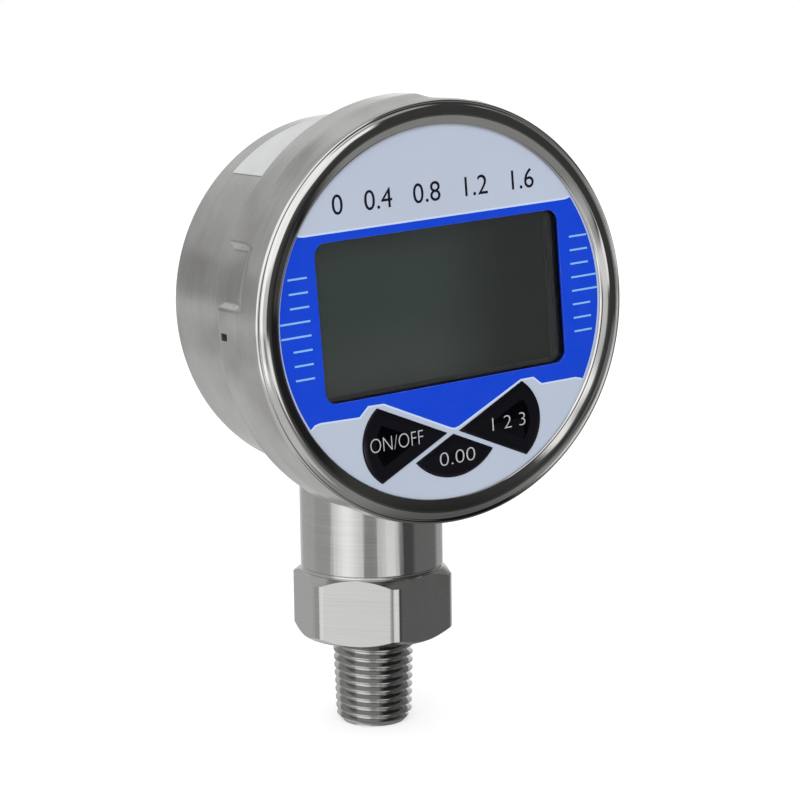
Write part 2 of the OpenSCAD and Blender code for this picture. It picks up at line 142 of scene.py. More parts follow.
# %% [markdown]
# ## The studio
# Polished steel shows the room and little else, so the room matters more than the steel. Here it
# is a world of soft boxes and dark cards, each a window in azimuth and elevation, laid one over
# another. Azimuth 0 is in front of the dial and grows to its right. The camera sees plain
# white, matte surfaces get one plain level, and only mirrors and glass see the boxes.

# %% World
studio_cards = [
    # name, azimuth from, to, elevation from, to, softness, radiance
    ("dim ground", -200, 200, -100, -24, 4, 0.26),
    ("pale table at the front left", -98, -6, -60, -24, 9, 0.58),
    ("pale table at the back left", -200, -98, -60, -4, 1.5, 0.58),
    ("pale table at the back right", 150, 200, -60, -4, 4, 0.58),
    ("left soft box", -97, -44, -28, 48, 4, 1.25),
    ("sheet beside the camera", -44, -11, -24, 8, 5, 0.66),
    ("top of the sheet beside the camera", -44, -7, 8, 60, 4, 1.15),
    ("gap by the camera", -11, 20, -24, 9, 4, 0.06),
    ("gap over the camera", -6, 20, 7, 38, 4, 0.06),
    ("corner of the top sheet", -12, 4, 19, 46, 4, 1.05),
    ("card over the dial", -12, 14, 41, 66, 5, 1.15),
    ("back wall", 165, 200, 14, 60, 5, 0.70),
    ("back left wall", -200, -98, 6, 60, 8, 0.50),
    ("bright patch of the back left wall", -200, -171, 16, 60, 5, 0.64),
    ("low back left wall", -200, -98, -3.5, 9, 2, 0.36),
    ("back right soft box", 128, 172, -22, 70, 6, 0.67),
    ("heart of the back right box", 140, 158, -4, 14, 6, 1.00),
    ("ceiling", -200, 200, 62, 100, 8, 0.40),
    ("grey room on the right", 60, 128, -24, 44, 6, 0.20),
    ("dark card on the right", 14, 86, -24, 62, 4, 0.045),
    # what the neck, the hex and the thread see, a little below the horizon
    ("low wall at the back left", -200, -135, -19, -9.5, 3, 0.49),
    ("low wall at the left", -135, -95, -19, -9.5, 3, 0.42),
    ("low left box", -97, -42, -19, -9.5, 3, 0.82),
    ("heart of the low left box", -84, -57, -19, -9.5, 12, 1.22),
    ("slot between boxes", -42, -21, -19, -9.5, 2, 0.30),
    ("low front box", -13, 15, -19, -9.5, 9, 1.05),
    ("low dark card", 24, 43, -19, -9.5, 3, 0.08),
    ("low grey wall", 43, 99, -19, -9.5, 2, 0.18),
    ("low wall at the back right", 99, 130, -19, -9.5, 3, 0.43),
]
room_level = 0.5
matte_level = 0.95
softest_rise = 4  # degrees, of a card's upper and lower edge
softest_share = 1 / 6  # of a card's height, which those edges don't pass either

world = bpy.data.worlds.new("studio")
bpy.context.scene.world = world
world.use_nodes = True
net = Net(world.node_tree)
generated = net.nodes.new("ShaderNodeTexCoord").outputs["Generated"]
direction = net.node("ShaderNodeSeparateXYZ", {0: generated})
azimuth = net.math("DEGREES", net.math("ARCTAN2", direction.outputs["X"],
                                       net.math("MULTIPLY", direction.outputs["Y"], -1.0)))
elevation = net.math("DEGREES", net.math("ARCSINE", direction.outputs["Z"]))
studio = room_level
for _, start, end, low, high, softness, radiance in studio_cards:
    rise = min(softness, softest_rise, (high - low) * softest_share)
    inside = net.math("MULTIPLY", net.band(azimuth, start, end, softness),
                      net.band(elevation, low, high, rise))
    studio = net.math("MULTIPLY_ADD", net.math("SUBTRACT", radiance, studio), inside, studio)
path = net.nodes.new("ShaderNodeLightPath")
mirror = net.math("MAXIMUM", path.outputs["Is Glossy Ray"], path.outputs["Is Transmission Ray"])
level = net.math("MULTIPLY_ADD", net.math("SUBTRACT", studio, matte_level), mirror, matte_level)
level = net.math("MAXIMUM", level, path.outputs["Is Camera Ray"])
background = net.nodes["Background"]
net.links.new(level, background.inputs["Strength"])
background.inputs["Color"].default_value = (1, 1, 1, 1)
bpy.context.scene.view_settings.view_transform = "Standard"
print(len(studio_cards), "boxes and cards in the studio")

# %% [markdown]
# A soft sun from the upper left gives the matte pieces and the floor a direction. Mirrors don't
# see it, because they have the boxes. The floor is pale and matte, touches the end of the thread,
# and isn't seen by mirrors either: they see the pale table of the world in its place.

# %% Lamp and floor
sun = bpy.data.lights.new("sun", "SUN")
sun.energy, sun.angle = 0.9, math.radians(50)
lamp = bpy.data.objects.new("sun", sun)
lamp.rotation_euler = (math.radians(58), 0, math.radians(-32))
lamp.visible_glossy = False
bpy.context.scene.collection.objects.link(lamp)


def new_piece(name, mesh):
    """Object with this mesh, linked into the scene."""
    piece = bpy.data.objects.new(name, mesh)
    bpy.context.scene.collection.objects.link(piece)
    return piece


shank_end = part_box("process_socket")[0].z
floor_size = 4
floor_grey, floor_whitening = 0.6, 0.52
floor_mesh = bpy.data.meshes.new("floor")
floor_mesh.from_pydata([(x * floor_size, y * floor_size, shank_end) for x, y in
                        ((-1, -1), (1, -1), (1, 1), (-1, 1))], [], [(0, 1, 2, 3)])
floor = new_piece("floor", floor_mesh)
floor.visible_glossy = False
floor_paint = bpy.data.materials.new("floor_paint")
floor_paint.use_nodes = True
net = Net(floor_paint.node_tree)
paint = net.nodes["Principled BSDF"]
paint.inputs["Base Color"].default_value = (floor_grey, floor_grey, floor_grey, 1)
paint.inputs["Roughness"].default_value = 1
paint.inputs["Specular IOR Level"].default_value = 0
paint.inputs["Emission Color"].default_value = (1, 1, 1, 1)
seen = net.nodes.new("ShaderNodeLightPath").outputs["Is Camera Ray"]
net.links.new(net.math("MULTIPLY", seen, floor_whitening), paint.inputs["Emission Strength"])
floor_mesh.materials.append(floor_paint)
print(f"the floor is at {shank_end / MM:.1f} mm")

# %% [markdown]
# ## Finishes
# Every finish starts from one surface node. Its patterns read Object coordinates in metres, so a
# scale of 1000 gives a grain of about a millimetre. A pattern that runs round or along a piece is
# the same noise, squeezed along one axis.

# %% Finish helper
class Finish(Net):
    """One material, with the patterns that several finishes share."""

    def __init__(self, name, **surface):
        self.material = bpy.data.materials.new(name)
        self.material.use_nodes = True
        super().__init__(self.material.node_tree)
        self.surface = self.nodes["Principled BSDF"]
        self.place = self.nodes.new("ShaderNodeTexCoord").outputs["Object"]
        for key, value in surface.items():
            self.surface.inputs[key.replace("_", " ")].default_value = value

    def noise(self, scale, detail=2.0, stretch=(1, 1, 1)):
        place = self.add("ShaderNodeMapping", {"Vector": self.place, "Scale": stretch})
        return self.add("ShaderNodeTexNoise", {"Vector": place, "Scale": scale, "Detail": detail})

    def tint(self, factor, *stops):
        """Colour that runs through stops of (place, colour)."""
        ramp = self.node("ShaderNodeValToRGB", {"Fac": factor})
        elements = ramp.color_ramp.elements
        while len(elements) < len(stops):
            elements.new(1.0)
        for element, (at, colour) in zip(elements, stops):
            element.position, element.color = at, (*colour, 1)
        return ramp.outputs[0]

    def along(self, axis):
        """Place along one axis, in metres."""
        return self.node("ShaderNodeSeparateXYZ", {0: self.place}).outputs[axis]

    def mixed(self, factor, colour, other):
        """Colour between that of a socket and a plain one."""
        return self.node("ShaderNodeMix", {0: factor, 6: colour, 7: (*other, 1)},
                         data_type="RGBA").outputs[2]

    def colour(self, socket):
        self.links.new(socket, self.surface.inputs["Base Color"])

    def roughness(self, factor, low, high):
        self.links.new(self.ramp(factor, 0.3, 0.7, low, high), self.surface.inputs["Roughness"])

    def bump(self, height, depth_mm, after=None):
        inputs = {"Height": height, "Distance": depth_mm * MM, "Strength": 1.0}
        if after:
            inputs["Normal"] = after
        normal = self.add("ShaderNodeBump", inputs)
        self.links.new(normal, self.surface.inputs["Normal"])
        return normal


finishes = {}

# %% [markdown]
# ### Steel
# The can and the bezel's skirt are drawn sheet with a satin skin: soft stains, and faint lines
# from the drawing tool. The bezel's roll is polished. The connection is turned, with fine rings,
# and the flats of its hex are milled, with fine lines along each flat.

# %% Steel finishes
deep_shade = (0.02, 0.02, 0.02)


def drawn_steel(name, shaded_from=None):
    """Satin sheet, darker in front of a place along Y where the bezel keeps the light off it."""
    steel = Finish(name, Metallic=1.0)
    stains = steel.noise(95, 4)
    lines = steel.noise(60, 3, (1, 45, 1))
    mixed = steel.math("MULTIPLY_ADD", steel.math("SUBTRACT", lines, 0.5), 0.35, stains)
    skin = steel.tint(mixed, (0.32, (0.50, 0.49, 0.48)), (0.52, (0.58, 0.58, 0.57)),
                      (0.7, (0.66, 0.66, 0.65)))
    if shaded_from is not None:
        shade = steel.ramp(steel.along("Y"), shaded_from - 0.8 * MM, shaded_from, 0.9, 0.0)
        skin = steel.mixed(shade, skin, deep_shade)
    steel.colour(skin)
    steel.roughness(stains, 0.15, 0.22)
    wave = steel.bump(steel.noise(55, 2), 0.08)
    grain = steel.bump(steel.noise(1700, 2), 0.0016, wave)
    steel.bump(lines, 0.003, grain)
    return steel.material


def polished_steel(name):
    """Bright steel, with painted shade at the ring's foot and on the left of its inner slope."""
    steel = Finish(name, Metallic=1.0)
    smear = steel.noise(160, 3)
    skin = steel.tint(smear, (0.3, (0.70, 0.69, 0.67)), (0.7, (0.75, 0.75, 0.74)))
    across, up = steel.along("X"), steel.math("SUBTRACT", steel.along("Z"), dial_z * MM)
    # painted shade: the colour darkens at the ring's foot and on the left of its inner slope
    foot = steel.ramp(up, -33 * MM, -27 * MM, 0.6, 0.0)
    squared = steel.math("MULTIPLY_ADD", across, across, steel.math("MULTIPLY", up, up))
    radius = steel.math("SQRT", squared)
    slope = steel.math("MULTIPLY", steel.ramp(radius, 29.85 * MM, 29.95 * MM),
                       steel.ramp(radius, 31.0 * MM, 31.3 * MM, 1.0, 0.0))
    left = steel.math("MULTIPLY", steel.ramp(across, -24 * MM, -17 * MM, 0.7, 0.0), slope)
    steel.colour(steel.mixed(steel.math("MAXIMUM", foot, left), skin, deep_shade))
    steel.roughness(smear, 0.05, 0.10)
    steel.bump(steel.noise(1500, 2), 0.0004)
    return steel.material


def turned_steel(name, stretch, low, high, depth_mm, shade=1.0):
    """Steel with the fine lines of a tool, which run across the stretched axis."""
    steel = Finish(name, Metallic=1.0)
    lines = steel.noise(60, 3, stretch)
    patches = steel.noise(260, 3)
    darker, lighter = ((tone, tone, tone * 0.985) for tone in (shade * 0.59, shade * 0.64))
    steel.colour(steel.tint(lines, (0.3, darker), (0.7, lighter)))
    wear = steel.math("MULTIPLY_ADD", patches, 0.4, steel.math("MULTIPLY", lines, 0.6))
    steel.roughness(wear, low, high)
    steel.bump(lines, depth_mm)
    return steel.material


finishes["case_steel"] = drawn_steel("case_steel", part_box("bezel_ring")[1].y - 0.6 * MM)
finishes["bezel_steel"] = polished_steel("bezel_steel")
finishes["turned_steel"] = turned_steel("turned_steel", (1, 1, 60), 0.10, 0.15, 0.0002)
finishes["screw_steel"] = turned_steel("screw_steel", (1, 60, 1), 0.22, 0.32, 0.004)
skirt_steel = drawn_steel("skirt_steel")
milled_steel = turned_steel("milled_steel", (1, 1, 70), 0.2, 0.3, 0.0015, 0.92)
thread_steel = turned_steel("thread_steel", (1, 1, 8), 0.13, 0.2, 0.0004, 0.86)
brass = Finish("brass", Metallic=1.0)
brass_lines = brass.noise(60, 3, (1, 1, 60))
brass.colour(brass.tint(brass_lines, (0.3, (0.66, 0.49, 0.22)), (0.7, (0.76, 0.60, 0.31))))
brass.roughness(brass_lines, 0.2, 0.34)
finishes["brass"] = brass.material

# %% [markdown]
# ### Plastics, rubber and films
# Moulded pieces have one colour with a faint cloud in it, and a fine grain in the skin from the
# mould. One recipe makes them all, from the colour, the size of the grain and the gloss.

# %% Moulded finishes
def moulded(name, colour, grain, low, high, depth_mm, cloud=0.06):
    """One colour with a faint cloud, a grain, and a roughness from low to high."""
    skin = Finish(name)
    clouds = skin.noise(grain / 12, 3)
    darker, lighter = (tuple(min(1, c * k) for c in colour) for k in (1 - cloud, 1 + cloud))
    skin.colour(skin.tint(clouds, (0.35, darker), (0.65, lighter)))
    grains = skin.noise(grain, 2)
    skin.roughness(grains, low, high)
    skin.bump(grains, depth_mm)
    return skin.material


def ink(name, colour, cloud=0.02):
    """Printed ink, smooth and a little glossy."""
    return moulded(name, colour, 420, 0.2, 0.26, 0.0004, cloud)


def display_glass(name):
    """Grey-green glass, a little olive in patches, with painted light at its foot and painted shade
    at its right.
    """
    glass = Finish(name, Roughness=1.0, Specular_IOR_Level=0.0)
    patches = glass.tint(glass.noise(34, 1), (0.35, (0.053, 0.077, 0.066)),
                         (0.65, (0.053, 0.081, 0.075)))
    # painted light pales the glass towards its foot, and painted shade darkens it towards its right
    foot = glass.ramp(glass.along("Z"), (dial_z - 11) * MM, (dial_z + 2) * MM, 0.7, 0.0)
    shade = glass.ramp(glass.along("X"), -2 * MM, 15 * MM, 0.0, 0.9)
    hazed = glass.mixed(foot, patches, (0.100, 0.119, 0.110))
    glass.colour(glass.mixed(shade, hazed, (0.010, 0.014, 0.015)))
    return glass.material


moulded_finishes = {
    # slot: colour, scale of the grain, roughness from, to, depth of the grain, cloud
    "black_plastic": ((0.018, 0.018, 0.019), 2400, 0.5, 0.62, 0.01),
    "key_plastic": ((0.004, 0.004, 0.007), 1500, 0.10, 0.16, 0.0006),
    "ivory_plastic": ((0.76, 0.74, 0.64), 2200, 0.42, 0.55, 0.006),
    "seal_rubber": ((0.03, 0.03, 0.03), 2600, 0.7, 0.85, 0.012),
    "strip_rubber": ((0.55, 0.42, 0.42), 2600, 0.6, 0.75, 0.01),
    "board_laminate": ((0.02, 0.16, 0.06), 3600, 0.28, 0.4, 0.006, 0.14),
    "cell_can": ((0.60, 0.42, 0.10), 3000, 0.22, 0.34, 0.002, 0.05),
    "red_lead": ((0.52, 0.03, 0.02), 2600, 0.4, 0.5, 0.004),
    "label_film": ((0.60, 0.61, 0.61), 2800, 0.42, 0.52, 0.003, 0.03),
}
for slot, recipe in moulded_finishes.items():
    finishes[slot] = moulded(slot, *recipe)
finishes["display_glass"] = display_glass("display_glass")
finishes["face_film"] = pale_film = ink("pale_film", (0.50, 0.565, 0.68))
blue_ink = ink("blue_ink", (0.001, 0.054, 0.66), 0.03)
edge_ink = ink("edge_ink", (0.60, 0.72, 0.90))
tick_ink = ink("tick_ink", (0.24, 0.50, 0.86))
# painted highlight, for the pale edge of the display's glass
edge_shine = ink("edge_shine", (0.06, 0.065, 0.065))
dark_ink = ink("dark_ink", (0.008, 0.008, 0.02), 0.05)
grey_ink = moulded("grey_ink", (0.50, 0.50, 0.51), 420, 0.3, 0.36, 0.0004, 0.04)

window_glass = Finish("window_glass", Transmission_Weight=1.0, IOR=1.46, Roughness=0.0)
window_smear = window_glass.noise(120, 3)
window_glass.colour(window_glass.tint(window_smear, (0.3, (0.93, 0.95, 0.94)),
                                      (0.7, (0.97, 0.98, 0.97))))
finishes["window_glass"] = window_glass.material

for part in frame["record"]["subparts"]:
    node = frame["nodes"][part["node"]]
    for place in node.material_slots:
        place.material = finishes[part["material_slot"]]
print(len(bpy.data.materials), "finishes made")

# %% [markdown]
# ## Making and handing over a piece
# A finished mesh is given smooth shading up to an angle, so that turned faces look round and real
# edges stay sharp. Then it rides on its body, may take a finish, and may stand for a CAD node.

# %% Hand-over helpers
def flatten(piece):
    """The piece's modifiers or curve made into a plain mesh of a new object."""
    name = piece.name
    graph = bpy.context.evaluated_depsgraph_get()
    mesh = bpy.data.meshes.new_from_object(piece.evaluated_get(graph))
    bpy.data.objects.remove(piece)
    mesh.name = name
    return new_piece(name, mesh)


def hand_over(piece, body, material=None, replaces=(), sharp=35):
    """Shades a finished piece, puts it on its body, and hides the CAD nodes it stands for."""
    mesh = piece.data
    if material:
        mesh.materials.clear()
        mesh.materials.append(material)
    mesh.shade_smooth()
    mesh.set_sharp_from_angle(angle=math.radians(sharp))
    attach(piece, body)
    if replaces:
        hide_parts(*replaces)
    print(piece.name, "has", len(mesh.polygons), "faces")


def merged_copy(node, name):
    """Copy of a CAD node with its loose triangles joined."""
    mesh = frame["nodes"][node].data.copy()
    mesh.name = name
    if mesh.has_custom_normals:
        mesh.attributes.remove(mesh.attributes["custom_normal"])
    shape = bmesh.new()
    shape.from_mesh(mesh)
    bmesh.ops.remove_doubles(shape, verts=shape.verts, dist=0.002 * MM)
    shape.to_mesh(mesh)
    shape.free()
    return new_piece(name, mesh)


def ring_faces(columns, rows):
    """Faces of a closed ring whose points run along its section, column after column."""
    return [(i * rows + j, k * rows + j, k * rows + (j + 1) % rows, i * rows + (j + 1) % rows)
            for i, k in zip(range(columns), [*range(1, columns), 0]) for j in range(rows)]


def revolved(name, section, count=192):
    """Closed ring about Z from a closed section of (radius, height), in millimetres."""
    points = []
    for i in range(count):
        turn = 2 * math.pi * i / count
        points += [in_mm @ Vector((r * math.cos(turn), r * math.sin(turn), h)) for r, h in section]
    mesh = bpy.data.meshes.new(name)
    mesh.from_pydata(points, [], ring_faces(count, len(section)))
    return outward(new_piece(name, mesh))


def outward(piece):
    """Turns the faces of a closed mesh outwards."""
    shape = bmesh.new()
    shape.from_mesh(piece.data)
    bmesh.ops.recalc_face_normals(shape, faces=shape.faces)
    shape.to_mesh(piece.data)
    shape.free()
    return piece


# %% [markdown]
# ## The can and its label
# The can is a plain drawn cup with a rounded rear edge. The solid model already has that shape,
# so a joined copy of it with smooth shading is enough. The label round its top is bare film.

# %% Can and label
hand_over(merged_copy("rear_case", "can"), "gauge", replaces=["rear_case"])
hand_over(merged_copy("side_label", "bare_label"), "gauge", replaces=["side_label"])

# %% [markdown]
# ## The bezel
# The bezel is stamped from sheet: its front edge is rolled over the face, with one fine groove
# between the roll and the shoulder of the skirt. Four stretches of the skirt's rear edge are
# pressed in to form the bayonet lugs, and beside all but the first a small slot takes the tool
# that turns the bezel; the slot is given the dark rubber as painted shade. The first lug, at the
# top, has a longer and gentler end on one side.
# It is one section spun round the dial. Its columns stand closer at the ends of lugs and slots,
# where the rim is bent in. The front sits a little low and to the right, as in the photograph.

# %% Bezel's section
skirt_r, sheet, skirt_back = 34.2, 0.8, 13.3
roll_r, roll_centre_r, roll_f = 1.9, 31.42, 23.46
lug_front, lug_press, lug_half, lug_ramp, lug_run = 17.7, 1.1, 8.8, 1.7, 3.4
first_lug, first_lug_run = ((12.5, 5.5), (7.7, 5.5)), 5.9  # (reach, ramp) of its two ends
flange_r, flange_play, least_wall, skirt_inner_top = 33.1, 0.25, 0.22, 20
lug_angles = [85.5 + 82 * i for i in range(4)]
slot_offset, slot_half, slot_low, slot_high, slot_press = 16.2, 0.95, 14.3, 16.1, 0.3
seat_u, seat_v, seat_blend = 0.1, -0.18, (19, 22)


def round_place(centre_r, centre_f, radius, turn):
    """Point of a section on an arc about a centre, at a turn in degrees."""
    turn = math.radians(turn)
    return centre_r + radius * math.cos(turn), centre_f + radius * math.sin(turn)


lip = [(29.66, 24.44), (29.58, 24.47), (29.55, 24.54), (29.58, 24.62), (29.74, 24.79),
       (29.8, 24.82), (29.92, 24.82)]
facet = [(29.96, 24.84), (30.2, 24.955), (30.6, 25.14), (30.98, 25.315), (31.04, 25.33)]
roll = [round_place(roll_centre_r, roll_f, roll_r, turn) for turn in range(98, 40, -5)]
groove = [(32.93, 24.66), (33.07, 24.64), (33.09, 24.7)]
shoulder = [(33.12, 24.78), (33.2, 24.8), (33.32, 24.75), (33.42, 24.66), (33.5, 24.54),
            (33.55, 24.38)]
flank = [(33.6, 24.1), (33.66, 23.6), (33.74, 22.9), (33.84, 22.1), (33.94, 21.3), (34.03, 20.5),
         (34.12, 19.8), (34.18, 19.2)]
skirt_rows = [18.6, 18.3, 17.95, 17.75, 17.55, 17.35, 17.15, 16.7, 16.25, slot_high, 15.3, slot_low,
              14.25, 13.9, 13.6]
rim = [(34.16, 13.42), (34.05, 13.32), (33.9, skirt_back), (33.65, skirt_back), (33.5, 13.34),
       (33.42, 13.45)]
inside = [(skirt_r - sheet, f) for f in reversed(skirt_rows)]
under_roll = [(33.3, 20), (33.1, 21.4), (33.0, 22.6), (33.0, 23.4)]
under_roll += [round_place(31.6, 23.4, 1.4, turn) for turn in range(12, 128, 12)]
under_roll += [(30.7, 24.48), (30.2, 24.45), (29.9, 24.44)]
polished = lip + facet + roll + groove + shoulder
bezel_section = polished + flank + [(skirt_r, f) for f in skirt_rows] + rim + inside + under_roll
print(len(bezel_section), "points in the bezel's section")

# %% Bezel's ring
def between(value, start, end):
    """0 before start, 1 after end, and smooth between them."""
    share = min(1, max(0, (value - start) / (end - start)))
    return share * share * (3 - 2 * share)


def in_slot(angle, f):
    """True inside the small slot beside a lug. The first lug has none."""
    return slot_low <= f <= slot_high and any(
        abs((angle - lug - slot_offset + 180) % 360 - 180) <= slot_half for lug in lug_angles[1:])


def bezel_place(r, f, angle):
    """Point of the section at an angle of the ring, bent in at a lug and pressed in at a slot."""
    for lug in lug_angles:
        off = (angle - lug + 180) % 360 - 180
        is_first = lug == lug_angles[0]
        ends = first_lug if is_first else ((lug_half, lug_ramp),) * 2
        (start, start_ramp), (end, end_ramp) = ends
        share = between(off, -start, start_ramp - start) * (1 - between(off, end - end_ramp, end))
        if f < lug_front:
            r -= share * lug_press
        elif r > skirt_r - sheet / 2 or f > skirt_inner_top:
            reach = lug_front + (first_lug_run if is_first else lug_run)
            run = lug_press * (1 - between(f, lug_front, reach))
            r -= share * max(0, min(run, r - flange_r - least_wall))
        else:
            r -= share * flange_play
        if in_slot(angle, f) and r > skirt_r - sheet / 2:
            r -= slot_press
    return r, f


bezel_turns = set(range(0, 360))
for lug in lug_angles:
    for side in (-1, 1):
        for share in (0, 0.15, 0.35, 0.5, 0.65, 0.85, 1):
            bezel_turns.add((lug + side * (lug_half - lug_ramp * share)) % 360)
        for step in (0, 0.05):
            bezel_turns.add((lug + slot_offset + side * (slot_half + step)) % 360)
bezel_turns = sorted(round(turn, 4) for turn in bezel_turns)
rows = len(bezel_section)
skin_rows = rows - len(under_roll)
outer_rows = skin_rows - len(inside)
points = []
for turn in bezel_turns:
    cosine, sine = math.cos(math.radians(turn)), math.sin(math.radians(turn))
    for j, (r, f) in enumerate(bezel_section):
        seat = between(f, *seat_blend) if j < skin_rows else 0
        r, f = bezel_place(r, f, turn)
        points.append(on_dial @ Vector((r * cosine + seat * seat_u, r * sine + seat * seat_v, f)))
bezel_mesh = bpy.data.meshes.new("bezel")
bezel_mesh.from_pydata(points, [], ring_faces(len(bezel_turns), rows))
for material in (finishes["bezel_steel"], skirt_steel, finishes["seal_rubber"]):
    bezel_mesh.materials.append(material)
nudge = 0.01  # degrees, from the column where a face starts to a place inside the face
for index, face in enumerate(bezel_mesh.polygons):
    column, row = divmod(index, rows)
    face.material_index = int(len(polished) - 1 <= row < skin_rows)
    # slot faces take the dark rubber: painted shade in the slot's recess
    if in_slot(bezel_turns[column] + nudge, -face.center.y / MM) and row < outer_rows:
        face.material_index = 2
hand_over(outward(new_piece("bezel", bezel_mesh)), "bezel", replaces=["bezel_ring"])

# %% [markdown]
# ## The connection
# The neck, the hex and the spigot are turned from one bar, and the tapered pipe thread is cut on
# the shank below. The solid model has a plain shank, so it is cut off here and a threaded one is
# joined on. Geometry Nodes sweep one tooth along a spiral that narrows downwards, and a turned
# envelope cuts the spiral's ends back to the chamfer. A fine relief groove runs round the foot of
# the neck.

# %% Thread's turns with Geometry Nodes
def tree_inputs(tree, **values):
    """Adds named inputs to a tree of Geometry Nodes, and hands back their identifiers."""
    tree.interface.new_socket("Geometry", in_out="OUTPUT", socket_type="NodeSocketGeometry")
    kinds = {int: "NodeSocketInt", float: "NodeSocketFloat",
             bpy.types.Material: "NodeSocketMaterial"}
    return {name: tree.interface.new_socket(name, in_out="INPUT",
                                            socket_type=kinds[type(value)]).identifier
            for name, value in values.items()}


def grown(name, build, **values):
    """Piece made by a tree of Geometry Nodes that build() fills, with these named inputs."""
    tree = bpy.data.node_groups.new(name, "GeometryNodeTree")
    identifiers = tree_inputs(tree, **values)
    net = Net(tree)
    given = net.nodes.new("NodeGroupInput").outputs
    shape = build(net, given)
    shape = net.add("GeometryNodeRealizeInstances", {0: shape})
    shape = net.add("GeometryNodeSetMaterial", {"Geometry": shape, "Material": given["material"]})
    net.node("NodeGroupOutput", {0: shape})
    piece = new_piece(name, bpy.data.meshes.new(name))
    modifier = piece.modifiers.new(name, "NODES")
    modifier.node_group = tree
    for key, value in values.items():
        modifier[identifiers[key]] = value
    return flatten(piece)


pitch, thread_depth, thread_top_r, taper = 1.411, 1.08, 6.86, 1 / 32
thread_len = 14.1
shank_len, shank_end_r, bore_r = 15.4, 5.25, 2.45
tooth_sink, thread_start = 0.3, 0.4
turns = 12


def thread_tooth(net, given):
    """A tooth swept along a spiral."""
    spiral = net.add("GeometryNodeCurveSpiral", {
        "Resolution": 120, "Rotations": given["turns"], "Start Radius": given["low_radius"],
        "End Radius": given["high_radius"], "Height": given["height"]})
    spiral = net.add("GeometryNodeSetCurveNormal", {"Curve": spiral}, mode="Z_UP")
    tooth = net.add("GeometryNodeCurvePrimitiveQuadrilateral", {
        "Height": given["tooth_height"], "Bottom Width": given["root_width"],
        "Top Width": given["crest_width"], "Offset": 0.0}, mode="TRAPEZOID")
    tooth = net.add("GeometryNodeTransform", {
        "Geometry": tooth, "Rotation": (0, 0, math.radians(90))})
    return net.add("GeometryNodeCurveToMesh", {
        "Curve": spiral, "Profile Curve": tooth, "Fill Caps": True})


tooth_height = thread_depth + tooth_sink
rise = turns * pitch
mid_top_r = thread_top_r - tooth_height / 2 + thread_start * taper
ridge = grown("thread_ridge", thread_tooth, turns=float(turns),
              low_radius=(mid_top_r - rise * taper) * MM, high_radius=mid_top_r * MM,
              height=rise * MM, tooth_height=tooth_height * MM, root_width=pitch * 0.98 * MM,
              crest_width=pitch * 0.1 * MM, material=thread_steel)
ridge.data.transform(Matrix.Translation((0, 0, (thread_start - rise) * MM)))
radii = [math.hypot(v.co.x, v.co.y) / MM for v in ridge.data.vertices]
print(f"thread from R {min(radii):.2f} to R {max(radii):.2f} mm, {len(ridge.data.polygons)} faces")

# %% [markdown]
# The cuts and joins use exact booleans. No face of one solid lies in a face of the other, which
# keeps their edges clean: the cut leaves 0.02 mm under the hex, and the new bore is 0.05 mm
# narrower than the old one.

# %% Join the thread to the neck and hex
def combine(piece, tool, operation):
    """Joins a tool to a piece, cuts it out, or keeps what both share."""
    step = piece.modifiers.new(operation.lower(), "BOOLEAN")
    step.object, step.operation, step.solver = tool, operation, "EXACT"
    piece = flatten(piece)
    bpy.data.objects.remove(tool)
    return piece


core_top, over = 0.5, 2.0
shank_top = -0.05
cut_r, cut_bore, cut_gap = 9, 1, 0.02
relief_at, relief_r = (12.12, 11.66), 0.36
root_top_r = thread_top_r - thread_depth
core = revolved("core", [(bore_r, -shank_len - over),
                         (root_top_r - (shank_len + over) * taper, -shank_len - over),
                         (root_top_r, core_top), (bore_r, core_top)])
envelope = revolved("envelope", [(bore_r - 1, -shank_len), (shank_end_r, -shank_len),
                                 (thread_top_r - thread_len * taper, -thread_len),
                                 (thread_top_r, shank_top), (thread_top_r - 0.3, core_top + over),
                                 (bore_r - 1, core_top + over)])
shank = combine(combine(outward(ridge), core, "UNION"), envelope, "INTERSECT")
socket = merged_copy("process_socket", "connection")
socket.data.materials.clear()
socket.data.materials.append(finishes["turned_steel"])
shank_cut = revolved("shank_cut", [(cut_bore, -shank_len - over), (cut_r, -shank_len - over),
                                   (cut_r, -cut_gap), (cut_bore, -cut_gap)])
relief = revolved("relief", [round_place(*relief_at, relief_r, turn) for turn in range(0, 360, 20)])
socket = combine(combine(socket, shank_cut, "DIFFERENCE"), relief, "DIFFERENCE")
connection = combine(socket, shank, "UNION")
connection.name = "connection"

# %% Milled flats and polished thread
hex_top, hex_flat_r, flat_play = 11.3, 12.1, 0.05
passage_r = 4
materials = connection.data.materials
materials.clear()
for material in (finishes["turned_steel"], milled_steel, thread_steel):
    materials.append(material)
for face in connection.data.polygons:
    middle, normal = face.center / MM, face.normal
    on_flat = (abs(normal.z) < 0.1 and 0 < middle.z < hex_top
               and abs(middle.dot(normal) - hex_flat_r) < flat_play)
    on_thread = middle.z < shank_top and middle.xy.length > passage_r
    face.material_index = 2 if on_thread else int(on_flat)
hand_over(connection, "gauge", replaces=["process_socket"])

# %% [markdown]
# ## The printed face
# The face is a film printed from behind: a pale ground, a blue band round the window with a
# light line along its edges, light ticks on both sides, and dark figures in the place of a
# title. Each ink is a thin plate of its own, cut from a flat curve, so that its outline
# is a real edge. The figures are plain numbers.

# %% Film with its cut edges inked at the window
film = merged_copy("face_overlay", "face_film")
film.data.materials.clear()
for material in (pale_film, blue_ink):
    film.data.materials.append(material)
window_reach, window_low, window_high = 22.6, -11.6, 14
to_face = on_face.inverted()
for face in film.data.polygons:
    u, v, _ = to_face @ face.center
    sideways = abs(face.normal.y) < 0.5
    at_window = abs(u) < window_reach and window_low < v < window_high
    face.material_index = int(sideways and at_window)
hand_over(film, "gauge", replaces=["face_overlay"])

